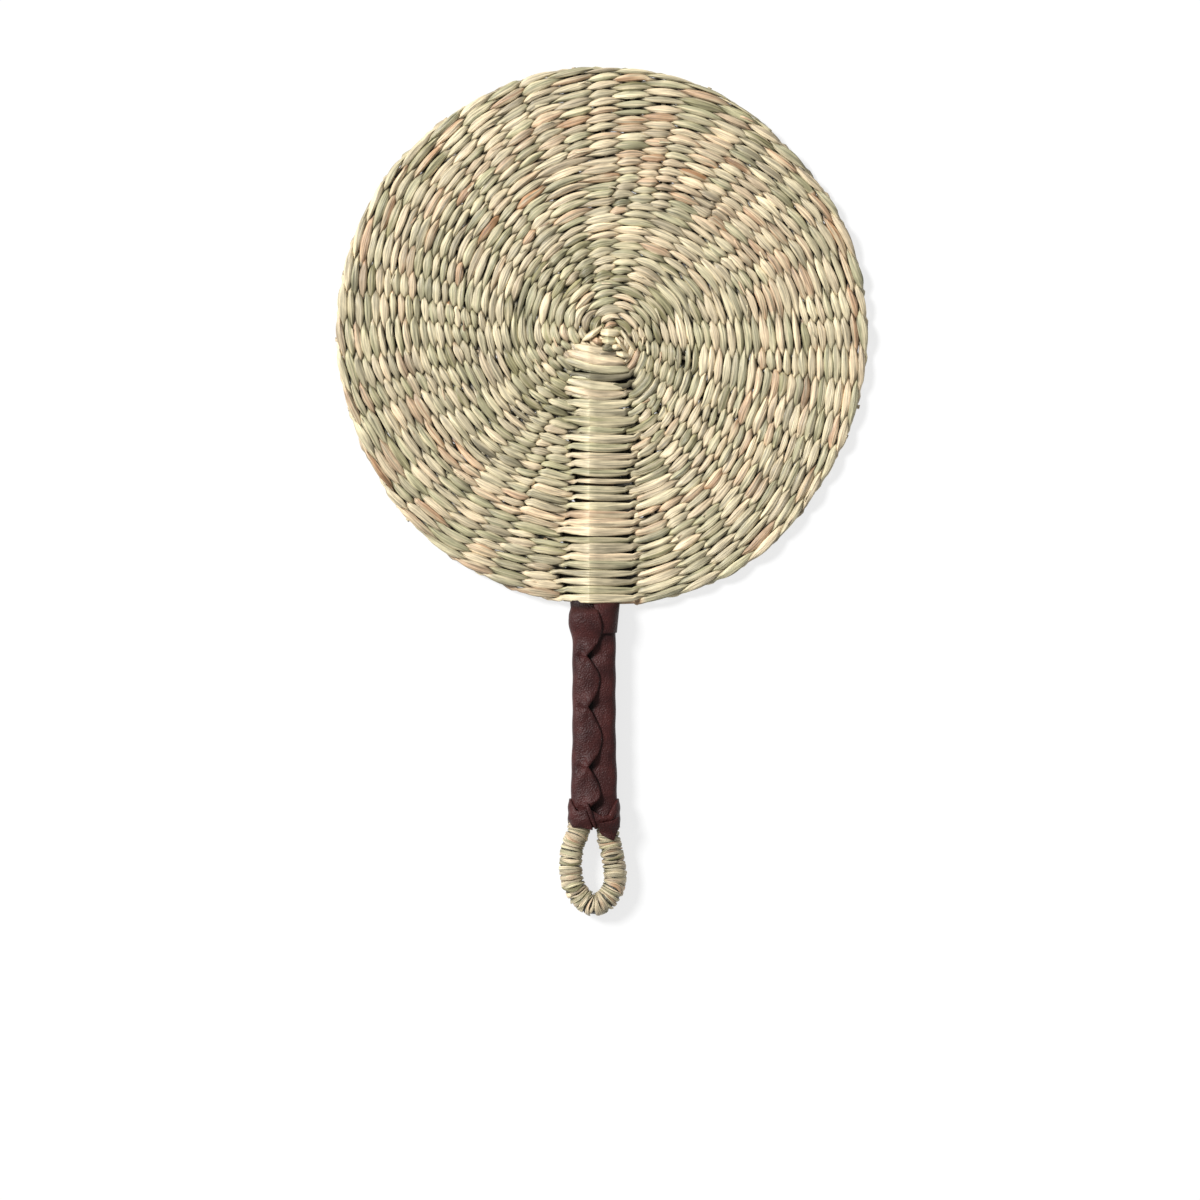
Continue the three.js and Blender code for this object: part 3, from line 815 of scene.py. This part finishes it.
def add_splice_ends(strand, crossings):
    """Loose ends of spliced grass that stand out a little from the front."""
    sides = np.linspace(0, 5, 6)  # angles in radians, nearly even
    for crossing in RANDOM.choice(crossings, SPLICE_ENDS):
        turn, angle = crossing["places"][0]
        radius = course_radius(turn) + RANDOM.uniform(*SPLICE_PLACES)
        length = RANDOM.uniform(*SPLICE_LENGTHS)
        swing = RANDOM.uniform(*SPLICE_SWINGS)
        rise = RANDOM.uniform(*SPLICE_RISES)
        base = crossing["lifts"][0] + SPLICE_BASE
        look = (RANDOM.uniform(*SPLICE_TONES), RANDOM.uniform(*SPLICE_SHADES))
        for share in (0, 0.35, 0.7, 1):
            turned = angle + share * length / radius
            out = radius + swing * share
            height = base + rise * share ** 2
            across = SPLICE_HALF_WIDTH * (1 - SPLICE_TAPER * share) * np.cos(sides)
            up = SPLICE_HALF_THICKNESS * np.sin(sides)
            points = [disc_point(out + c, turned, height + u) for c, u in zip(across, up)]
            strand.ring(points, across, *look)
        strand.close()


def make_weave():
    crossings = weft_crossings()
    strand_a = weft_strand(crossings, True)
    strand_b = weft_strand(crossings, False)
    add_splice_ends(strand_a, crossings)
    strand_a.add("weft_a", "straw_grass", ("weft_strand_a",))
    strand_b.add("weft_b", "green_grass", ("weft_strand_b",))


def make_spokes():
    """Stalks inside the weave, cut off unevenly outside the rim."""
    stalks = Strand()
    sides = np.linspace(0, 2 * math.pi, 6, endpoint=False)
    across = STALK_RADII[0] * np.cos(sides)
    up = STALK_RADII[1] * np.sin(sides)
    for spoke in range(1, FINEST_SPOKES):
        if SPOKE_STARTS[spoke] >= LAST_TURN:
            continue
        look = (RANDOM.uniform(*STALK_TONES), STALK_SHADE)
        end = rim_radius(SPOKE_ANGLES[spoke]) + RANDOM.uniform(*STALK_ENDS)
        for radius in np.linspace(inner_edge(SPOKE_STARTS[spoke]), end, 24):
            middle = spoke_angle(spoke, (radius - FIRST_EDGE) / COURSE_PITCH)
            points = [disc_point(radius, middle + c / radius, u) for c, u in zip(across, up)]
            stalks.ring(points, across, *look)
        stalks.close()
    stalks.add("spoke_stalks", "spoke_grass", [f"spoke_{number:02d}" for number in range(1, 32)])


KNOT_TURNS = 2.2
KNOT_START = 0.3
KNOT_END = KNOT_RADIUS + 1.2
KNOT_STRAND_RADIUS = 1.1
KNOT_LOOK = (0.6, 0.6)  # tone and shade
HEAD_THICKNESS = 2.6
HEAD_SAG = 0.05  # of a head strand's middle, as a share of its length
HEAD_SHADE = 1.1
# painted shade of the head strands' undersides
HEAD_PAINTED_UNDER_SHADE = 0.5
HEAD_FIBRE = 0.45  # how wide the fibres lie on these wide strands
# Strands over the stave's head: left x and y, right x and y, half width, peak's height and share, tone
HEAD_STRANDS = (
    (-14.4, -4.4, 6.4, -7.4, 2.2, 4.4, 0.36, 0.62),
    (-17.6, -7.4, 10.4, -12.2, 3.0, 5.6, 0.38, 0.72),
    (-19.4, -10.8, 12.6, -15.8, 2.6, 5.2, 0.4, 0.34),
    (-15.6, -18.6, 4.6, -18.2, 1.5, 4.6, 0.42, 0.28),
    (-18.2, -20.8, 10.8, -23.8, 2.4, 5.6, 0.4, 0.42),
    (-19.6, -24.0, 11.2, -27.0, 2.1, 5.8, 0.4, 0.7),
    (-16.6, -27.2, 8.6, -28.8, 1.4, 5.0, 0.36, 0.28),
    (-2.4, 2.1, 7.8, 1.7, 2.1, 4.4, 0.4, 0.45),
    (-1.6, -1.7, 6.8, -2.2, 1.9, 4.4, 0.4, 0.28),
    (-10.6, -1.8, -0.6, 4.6, 1.8, 4.2, 0.5, 0.74),
    (-6.4, -1.2, -0.2, -3.0, 1.6, 3.6, 0.5, 0.88),
    (4.6, 0.2, 11.4, -8.0, 1.5, 4.4, 0.4, 0.56),
    (7.0, 3.6, 15.2, -6.8, 1.7, 4.2, 0.4, 0.5),
    (2.4, -4.8, 9.0, -5.0, 1.5, 4.4, 0.5, 0.6),
    (4.8, -7.4, 12.8, -9.4, 1.5, 4.0, 0.5, 0.5),
)


def make_knot():
    """The strand's end, coiled flat at the centre, and the wide strands that bind the stave's head."""
    knot = Strand()
    sides = np.linspace(0, 2 * math.pi, 8, endpoint=False)
    across = KNOT_STRAND_RADIUS * np.cos(sides)
    up = KNOT_STRAND_RADIUS * np.sin(sides)
    for share in np.linspace(0, 1, 40):
        radius = lerp(KNOT_START, KNOT_END, share)
        angle = 2 * math.pi * KNOT_TURNS * share
        points = [disc_point(radius + c, angle, u) for c, u in zip(across, up)]
        knot.ring(points, np.cos(sides), *KNOT_LOOK)
    knot.close()
    for x0, y0, x1, y1, half, height, peak, tone in HEAD_STRANDS:
        for share in np.linspace(0.01, 0.99, 25):
            rise = (share / peak if share < peak else (1 - share) / (1 - peak)) ** 0.4
            lens = math.sin(math.pi * share) ** 0.5
            x = lerp(x0, x1, share)
            y = lerp(y0, y1, share) - HEAD_SAG * (x1 - x0) * math.sin(math.pi * share)
            z = MIDDLE_PLANE + height * rise
            section = lobed_section(half * lerp(0.2, 1, lens), HEAD_THICKNESS * lerp(0.4, 1, lens), share)
            points = [(x, y + c, z + u) for c, u in section]
            # painted shade on each head strand's underside
            shades = [HEAD_SHADE * lerp(HEAD_PAINTED_UNDER_SHADE, 1, smoothstep(-0.8, 0.2, u)) for c, u in section]
            knot.ring(points, [HEAD_FIBRE * c for c, u in section], tone, shades)
        knot.close()
    knot.add("centre_knot_wraps", "straw_grass", ("centre_knot",))


# Leather


def grip_point(y, angle, half, back, top):
    """A point of the grip's section: a super-ellipse with a flat back."""

    def rounded(value):
        return math.copysign(abs(value) ** (2 / SECTION_POWER), value)

    low = back - FLAT_CUT
    height = (low + top) / 2 + (top - low) / 2 * rounded(math.sin(angle))
    return (GRIP_X + half * rounded(math.cos(angle)), y, max(height, back))


def front_angle(x, half):
    """The angle at which the front of the section reaches a place across the grip."""
    return math.acos(math.copysign(abs(x / half) ** (SECTION_POWER / 2), x))


def lap_x(y):
    """The scalloped free edge of the wrap: cusps where it is pinched, round bulges between them."""
    edge = PINCHES[-1][1]
    for (upper_y, upper_x), (bulge_y, bulge_x), (lower_y, lower_x) in zip(PINCHES, BULGES, PINCHES[1:]):
        if lower_y <= y <= upper_y:
            cusp_y, cusp_x = (upper_y, upper_x) if y > bulge_y else (lower_y, lower_x)
            share = (y - cusp_y) / (bulge_y - cusp_y)
            edge = lerp(cusp_x, bulge_x, math.sin(share * math.pi / 2))
    return edge


def pinched(y):
    """How near a row is to a pinch, 0 to 1."""
    return max(hump((y - pinch_y) / PINCH_REACH) for pinch_y, pinch_x in PINCHES[1:])


def creases(x, y):
    """Folds that run out from the pinches, up and to the left."""
    height = 0.0
    for pinch_y, pinch_x in PINCHES[1:]:
        across = x - GRIP_X - pinch_x
        along = y - pinch_y
        reach = math.hypot(across, along)
        fold = math.cos(CREASE_COUNT * math.atan2(along, -across) - CREASE_TURN)
        strength = math.exp(-reach / CREASE_REACH) * reach / (reach + CREASE_START)
        height += CREASE_HEIGHT * fold * strength
    return height


def wrap_half(y):
    return lerp(WRAP_HALF, WRAP_BOTTOM_HALF, float(smoothstep(*WRAP_SWELL, y)))


def top_fall(y):
    return TOP_FALL * float(smoothstep(TOP_FALL_START, GRIP_TOP, y))


def painted_hole_shade(x, y):
    """Painted shade: leather is coloured dark inside a pinch, just right of the cusp and above it."""
    right, above = HOLE_PLACE
    reach = min(
        math.hypot(x - GRIP_X - cusp_x - right, HOLE_STRETCH * (y - cusp_y - above))
        for cusp_y, cusp_x in PINCHES[1:]
    )
    return lerp(PAINTED_HOLE_SHADE, 1, float(smoothstep(*HOLE_EDGE, reach / HOLE_RADIUS)))


def add_sheet(name, outer, inner, columns, nodes, shades=None):
    """A sheet of leather. The shades are those of the outer points and hold for the inner ones too."""
    faces = sheet_faces(len(outer) // columns, columns)
    looks = {"shade": 2 * (shades or [1.0] * len(outer))}
    add_mesh(name, outer + inner, faces, HIDE, nodes, looks)


def make_wrap():
    """One sheet around the grip. Its first edge lies under its scalloped last edge on the front."""
    rows = 210
    columns = 110
    outer = []
    inner = []
    shades = []
    for y in np.linspace(GRIP_TOP, GRIP_BOTTOM, rows):
        half = wrap_half(y)
        top = WRAP_TOP - top_fall(y)
        # painted shade where the wrap turns in under the disc
        painted_top_shade = lerp(1, PAINTED_TOP_SHADE, float(smoothstep(*TOP_SHADE_SPAN, y)))
        flare = FLARE * float(smoothstep(*FLARE_SPAN, y) * (1 - FLARE_LOSS * smoothstep(*FLARE_LOSS_SPAN, y)))
        near = pinched(y)
        edge_fall = EDGE_FALL * float(smoothstep(*EDGE_FALL_SPAN, y))
        edge = lerp(-edge_fall, EDGE_RISE, pinched(y - EDGE_RISE_PLACE))
        fold = UNDER_FOLD_DEPTH * hump((y - PINCHES[1][0] - UNDER_FOLD_RISE) / UNDER_FOLD_REACH)
        start = front_angle(UNDER_EDGE_X, half)
        end = front_angle(lap_x(y), half) - 2 * math.pi
        for angle in np.linspace(start, end, columns):
            over = float(np.clip((angle + math.pi) / (end + math.pi), 0, 1))
            x, _, _ = grip_point(y, angle, half, WRAP_BACK, WRAP_TOP)
            relief = WAVE_HEIGHT * math.sin(0.42 * y + 3 * angle)
            relief -= LAP_STEP * float(smoothstep(*UNDER_SINK, angle))
            relief += flare * float(smoothstep(*FLARE_ANGLES, angle))
            if over == 0:
                past_fold = x - GRIP_X - UNDER_FOLD_X
                relief -= UNDER_DIP * near * float(smoothstep(*UNDER_DIP_SPAN, angle))
                relief -= fold * float(smoothstep(UNDER_FOLD_EDGE, -UNDER_FOLD_EDGE, past_fold))
                # painted shade inside the pinches and where the wrap turns in under the disc
                shades.append(painted_hole_shade(x, y) if angle > 0 else painted_top_shade)
            else:
                relief += over * creases(x, y) + edge * over ** EDGE_POWER
                relief -= GATHER_DEPTH * near * hump((over - GATHER_PLACE) / GATHER_REACH)
                shades.append(painted_top_shade)
            for face, depth in ((outer, 0), (inner, LEATHER)):
                inset = depth - relief
                face.append(grip_point(y, angle, half - inset, WRAP_BACK + depth, top - inset))
    add_sheet("leather_wrap_sheet", outer, inner, columns, ("leather_wrap",), shades)


def make_collar():
    """The strip around the wrap's top, tucked under the lap at the left."""
    rows = 24
    columns = 60
    outer = []
    inner = []
    for share in np.linspace(0, 1, rows):
        y = lerp(GRIP_TOP + 0.4, COLLAR_BOTTOM, share)
        half = WRAP_HALF + COLLAR_PROUD + lerp(LAP_STEP, 0, share)
        dip = COLLAR_DIP * float(smoothstep(*COLLAR_DIP_SPAN, y))
        top = WRAP_TOP + lerp(LAP_STEP, COLLAR_EDGE, share ** 2) - top_fall(y) - dip
        start = front_angle(lap_x(y) - COLLAR_TUCK, half)
        for angle in np.linspace(start, COLLAR_END, columns):
            slant = COLLAR_SLANT * share * math.sin(angle)
            for face, depth in ((outer, 0), (inner, LEATHER)):
                face.append(grip_point(y - slant, angle, half - depth, depth, top - depth))
    add_sheet("top_collar_strip", outer, inner, columns, ("top_collar",))


def add_tab(name, angles, upper, lower, node):
    """A leather tab laid around one of the loop's legs. The edges are given on the front by their x and y."""
    rows = 22
    outer = []
    inner = []
    for share in np.linspace(0, 1, rows):
        for angle in angles:
            half = WRAP_BOTTOM_HALF + LAP_STEP
            x, _, _ = grip_point(0, angle, half, 0, WRAP_TOP + LAP_STEP)
            front = math.sin(angle) > 0
            place = x - GRIP_X if front else math.copysign(half, x - GRIP_X)
            y = lerp(np.interp(place, *zip(*upper)), np.interp(place, *zip(*lower)), share)
            sag = TAB_SAG * max(0.0, GRIP_BOTTOM + TAB_SAG_LENGTH - y) * front
            roll = TAB_ROLL * (1 - share) ** 6
            relief = TAB_WAVE * math.sin(1.1 * y + 4 * angle) - sag - roll
            for face, depth in ((outer, 0), (inner, LEATHER)):
                inset = depth - relief
                face.append(grip_point(y, angle, half - inset, depth, WRAP_TOP + LAP_STEP - inset))
    add_sheet(name, outer, inner, len(angles), (node,))


def make_tabs():
    """Each tab goes from its inner edge on the front, around a side, to the middle of the back."""
    left = np.linspace(front_angle(LEFT_TAB_UPPER[-1][0], WRAP_BOTTOM_HALF), 1.45 * math.pi, 60)
    right = np.linspace(front_angle(RIGHT_TAB_UPPER[0][0], WRAP_BOTTOM_HALF), -0.45 * math.pi, 60)
    add_tab("left_tab", left, LEFT_TAB_UPPER, LEFT_TAB_LOWER, "bottom_band")
    add_tab("right_tab", right, RIGHT_TAB_UPPER, RIGHT_TAB_LOWER, "bottom_band")


def make_tail():
    """The pointed end of the right tab, folded down over the loop's leg."""
    rows = 24
    columns = 24
    half = WRAP_BOTTOM_HALF + 2 * LAP_STEP
    top = WRAP_TOP + 2 * LAP_STEP
    outer = []
    inner = []
    for share in np.linspace(0, 1, rows):
        for x in np.linspace(TAIL_UPPER[0][0], TAIL_UPPER[-1][0], columns):
            y = lerp(np.interp(x, *zip(*TAIL_UPPER)), np.interp(x, *zip(*TAIL_LOWER)), share)
            _, _, over_tab = grip_point(y, front_angle(x, half), half, 0, top)
            over_leg = LOOP_HEIGHT + math.sqrt(max(LEG_RADIUS ** 2 - (x - LEG_X) ** 2, 1.0)) + LEATHER
            height = lerp(over_tab, over_leg, float(smoothstep(*TAIL_FOLD, y)))
            outer.append((GRIP_X + x, y, height))
            inner.append((GRIP_X + x, y, height - LEATHER))
    add_sheet("tab_tail", outer, inner, columns, ("band_tail",))


def make_keeper():
    """The narrow rolled strip that crosses between the two tabs."""
    keeper = []
    rings = 16
    sides = 8
    for share in np.linspace(0, 1, rings):
        x = lerp(KEEPER_TOP[0], KEEPER_END[0], share)
        y = lerp(KEEPER_TOP[1], KEEPER_END[1], share)
        taper = math.sin(math.pi * lerp(0.12, 0.9, share)) ** 0.5
        height = WRAP_TOP + LAP_STEP + KEEPER_RISE - KEEPER_FALL * share ** 4
        for a in np.linspace(0, 2 * math.pi, sides, endpoint=False):
            across = KEEPER_RADII[0] * taper * math.cos(a)
            up = KEEPER_RADII[1] * taper * math.sin(a)
            keeper.append((GRIP_X + x + across, y, height + up))
    looks = {"shade": [1.0] * len(keeper)}
    add_mesh("tab_keeper", keeper, tube_faces(rings, sides), HIDE, ("band_keeper",), looks)


# Loop


def spline(points, steps):
    """Points along a smooth line through the given points, spaced evenly."""
    known = np.array(points, dtype=float)
    padded = np.vstack((2 * known[0] - known[1], known, 2 * known[-1] - known[-2]))
    line = []
    for p0, p1, p2, p3 in zip(padded, padded[1:], padded[2:], padded[3:]):
        for t in np.linspace(0, 1, 12, endpoint=False):
            bend = (2 * p0 - 5 * p1 + 4 * p2 - p3) * t ** 2
            twist = (3 * p1 - p0 - 3 * p2 + p3) * t ** 3
            line.append((2 * p1 + (p2 - p0) * t + bend + twist) / 2)
    line = np.array((*line, known[-1]))
    length = np.concatenate(([0], np.cumsum(np.linalg.norm(np.diff(line, axis=0), axis=1))))
    even = np.linspace(0, length[-1], steps)
    return np.column_stack([np.interp(even, length, line[:, axis]) for axis in range(line.shape[1])])


LOOP_STEPS = 400
LOOP_PATH = spline(LOOP_LINE, LOOP_STEPS)
LOOP_TANGENTS = np.gradient(LOOP_PATH, axis=0)
LOOP_TANGENTS /= np.linalg.norm(LOOP_TANGENTS, axis=1, keepdims=True)
LOOP_LENGTH = float(np.linalg.norm(np.diff(LOOP_PATH, axis=0), axis=1).sum())


def loop_point(share, radius, angle):
    """A point around the loop's line. Angle 0 is on its outer side and a quarter turn on is the front."""
    steps = np.arange(LOOP_STEPS)
    at = np.clip(share, 0, 1) * steps[-1]
    x, y, tx, ty = (np.interp(at, steps, line) for line in (*LOOP_PATH.T, *LOOP_TANGENTS.T))
    out = radius * math.cos(angle)
    return (GRIP_X + x + out * ty, y - out * tx, LOOP_HEIGHT + radius * math.sin(angle))


def make_loop_core():
    core = Strand()
    sides = np.linspace(0, 2 * math.pi, 20, endpoint=False)
    for share in np.linspace(0, 1, 90):
        points = [loop_point(share, LOOP_CORE_RADIUS, a) for a in sides]
        # the core's colour holds painted shade
        core.ring(points, LOOP_CORE_RADIUS * sides, LOOP_CORE_TONE, LOOP_CORE_PAINTED_SHADE)
    core.close()
    core.add("loop_bundle", "straw_grass", ("loop_core",))


def make_loop_winding():
    """A grass strip wound around the loop, turn by turn, with uneven widths and slants."""
    strip = Strand()
    steps = 30
    sides = np.linspace(0, 2 * math.pi, 10, endpoint=False)
    knots = KNOTS_PER_TURN * LOOP_TURNS + 2
    tones = lerp(STRIP_TONE, RANDOM.choice(TONE_CHOICES, knots, p=TONE_SHARES), STRIP_TONE_SPREAD)
    shades = RANDOM.normal(*STRIP_SHADES, knots)
    wander = RANDOM.normal(0, STRIP_WANDER, knots)
    lifts = RANDOM.normal(0, STRIP_LIFT_SPREAD, knots)
    widths = RANDOM.uniform(*STRIP_WIDTHS, knots)
    pitch = 1 / LOOP_TURNS
    for turn in np.linspace(0, LOOP_TURNS, LOOP_TURNS * steps + 1):
        knot = int(KNOTS_PER_TURN * turn)
        part = float(smoothstep(0, 1, KNOTS_PER_TURN * turn - knot))
        drift, lift, width, tone, shade = (
            lerp(values[knot], values[knot + 1], part) for values in (wander, lifts, widths, tones, shades)
        )
        middle = pitch * (0.5 + turn * (LOOP_TURNS - 1) / LOOP_TURNS + drift)
        radius = LOOP_CORE_RADIUS + STRIP_HEIGHT + lift
        across = pitch * width * STRIP_HALF_WIDTH * np.cos(sides)
        up = STRIP_THICKNESS / 2 * np.sin(sides) + STRIP_TILT * np.cos(sides)
        angle = -math.pi / 2 + 2 * math.pi * turn
        points = [loop_point(middle + c, radius + u, angle) for c, u in zip(across, up)]
        strip.ring(points, 2 * across * LOOP_LENGTH, tone, shade)
    strip.close()
    strip.add("loop_winding_strip", "straw_grass", ("loop_winding",))


def make_stave():
    """The stave keeps the solid's own shape."""
    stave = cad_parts["stave"]
    stave.data.materials.clear()
    stave.data.materials.append(WOOD)


make_weave()
make_spokes()
make_knot()
make_stave()
make_wrap()
make_collar()
make_tabs()
make_tail()
make_keeper()
make_loop_core()
make_loop_winding()

# Stage, lights and camera

VIEW_WIDTH = 0.5647  # of the picture, in metres at the fan
VIEW_MIDDLE = (-0.002, -0.049, 0.006)
CAMERA_DISTANCE = 2.2
SENSOR_WIDTH = 36
FLOOR_SIZE = 3.0
FLOOR_HEIGHT = -0.0005
FLOOR_TONES = ((0.0, (0.93, 0.93, 0.93)), (1.0, (0.95, 0.95, 0.95)))
SHADOW_RELIEF = 0.76  # share of plain white in the floor as the camera sees it
SUN_STRENGTH = 4.1
SUN_DIRECTION = (-0.88, 0.55, 1.0)
SUN_SPREAD = math.radians(16)
SKY_STRENGTH = 0.31


def make_floor():
    """A floor that the camera sees as white, with a soft shadow."""
    n = Nodes("floor")
    place = n.add("ShaderNodeTexCoord").outputs["Object"]
    n.set(n.shader.inputs["Base Color"], n.ramp(n.noise(place, 40.0), FLOOR_TONES))
    n.shader.inputs["Roughness"].default_value = 0.9
    n.shader.inputs["Specular IOR Level"].default_value = 0.0
    rays = n.add("ShaderNodeLightPath").outputs
    seen = n.math("MAXIMUM", rays["Is Camera Ray"], rays["Is Glossy Ray"])
    seen = n.math("MAXIMUM", seen, rays["Is Transmission Ray"])
    white = n.add("ShaderNodeEmission", {"Color": (1, 1, 1, 1), "Strength": 1.0}).outputs[0]
    mixed = n.add("ShaderNodeMixShader", {0: n.math("MULTIPLY", seen, SHADOW_RELIEF)})
    n.set(mixed.inputs[1], n.shader.outputs[0])
    n.set(mixed.inputs[2], white)
    n.set(n.tree.nodes["Material Output"].inputs["Surface"], mixed.outputs[0])
    corners = [(x * FLOOR_SIZE, y * FLOOR_SIZE, 0) for x, y in ((-1, -1), (1, -1), (1, 1), (-1, 1))]
    mesh = bpy.data.meshes.new("floor")
    mesh.from_pydata(corners, [], [(0, 1, 2, 3)])
    mesh.materials.append(n.material)
    floor = link(bpy.data.objects.new("floor", mesh))
    floor.location.z = FLOOR_HEIGHT


def make_lights():
    world = bpy.data.worlds.new("studio")
    world.use_nodes = True
    world.node_tree.nodes["Background"].inputs["Color"].default_value = (1, 1, 1, 1)
    world.node_tree.nodes["Background"].inputs["Strength"].default_value = SKY_STRENGTH
    bpy.context.scene.world = world
    sun = bpy.data.lights.new("key", "SUN")
    sun.energy = SUN_STRENGTH
    sun.angle = SUN_SPREAD
    key = link(bpy.data.objects.new("key", sun))
    key.rotation_euler = Vector(SUN_DIRECTION).to_track_quat("Z", "Y").to_euler()


def make_camera():
    camera = bpy.data.cameras.new("camera")
    camera.sensor_width = SENSOR_WIDTH
    camera.lens = SENSOR_WIDTH * CAMERA_DISTANCE / VIEW_WIDTH
    holder = link(bpy.data.objects.new("camera", camera))
    holder.location = (VIEW_MIDDLE[0], VIEW_MIDDLE[1], VIEW_MIDDLE[2] + CAMERA_DISTANCE)
    bpy.context.scene.camera = holder


make_floor()
make_lights()
make_camera()
bpy.context.scene.view_settings.view_transform = "Standard"
